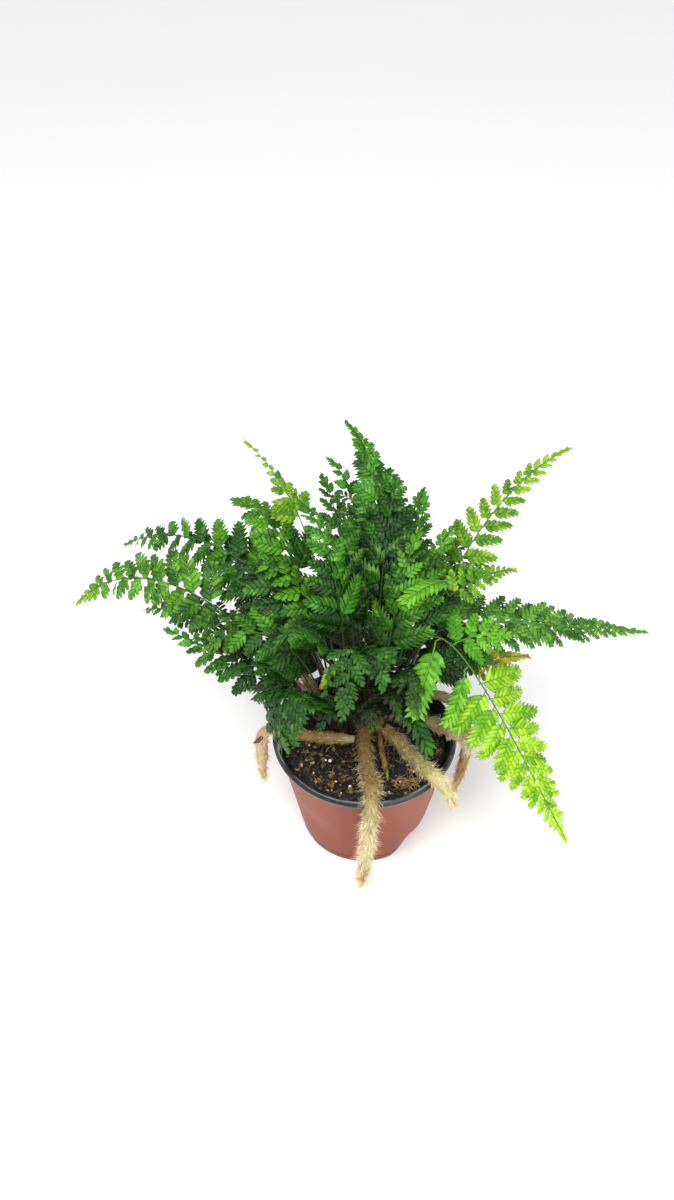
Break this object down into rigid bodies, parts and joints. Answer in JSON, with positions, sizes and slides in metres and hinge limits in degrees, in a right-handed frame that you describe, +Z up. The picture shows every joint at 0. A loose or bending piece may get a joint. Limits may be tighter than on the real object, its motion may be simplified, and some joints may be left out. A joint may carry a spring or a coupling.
{
  "type": "potted rabbit's-foot fern",
  "caption": "Young fern with lacy arching fronds and furry rhizomes creeping over the rim of a thin plastic nursery pot filled with dark soil.",
  "frame": {"origin": "centre of the pot's floor, on its underside", "axes": "+Z up, +X to the right and +Y to the back as seen in the picture"},
  "size_m": [0.3583, 0.2167, 0.2273],
  "materials": {
    "pot": "terracotta thermoformed plastic, black inside and round the rim",
    "soil": "dark peat potting mix with bark bits, a few grains of perlite",
    "rhizome": "straw-coloured furry scales, pale at the growing tips",
    "frond_dark": "dark green glossy leathery leaf",
    "frond_mid": "mid green leaf with satin gloss",
    "frond_lime": "young lime green leaf, thin and soft",
    "frond_yellow": "old leaf turning yellow and brown"
  },
  "bodies": {
    "root": {"pot": "pot", "soil": "soil", "rhizome_main": "rhizome", "rhizome_left": "rhizome", "rhizome_right_back": "rhizome", "rhizome_back_left": "rhizome", "frond_right_low": "frond_lime", "frond_right_up": "frond_lime", "frond_right_far": "frond_dark", "frond_right_yellow": "frond_yellow", "frond_top": "frond_dark", "frond_top_right": "frond_dark", "frond_top_left": "frond_dark", "frond_back_lime": "frond_lime", "frond_left_up": "frond_mid", "frond_left_mid": "frond_mid", "frond_left_low": "frond_dark", "frond_left_drop": "frond_dark", "frond_left_face": "frond_mid", "frond_left_inner": "frond_mid", "frond_centre_high": "frond_dark", "frond_centre_right": "frond_mid", "frond_front_high": "frond_dark", "frond_front_mid": "frond_mid", "frond_right_front": "frond_dark", "frond_front_left": "frond_dark", "frond_front_right": "frond_dark", "frond_left_behind": "frond_mid", "frond_left_middle": "frond_dark", "frond_right_high": "frond_mid", "frond_right_middle": "frond_dark", "frond_centre_low": "frond_dark", "frond_back_left": "frond_dark", "frond_back": "frond_mid", "frond_back_right": "frond_dark"}
  },
  "joints": []
}
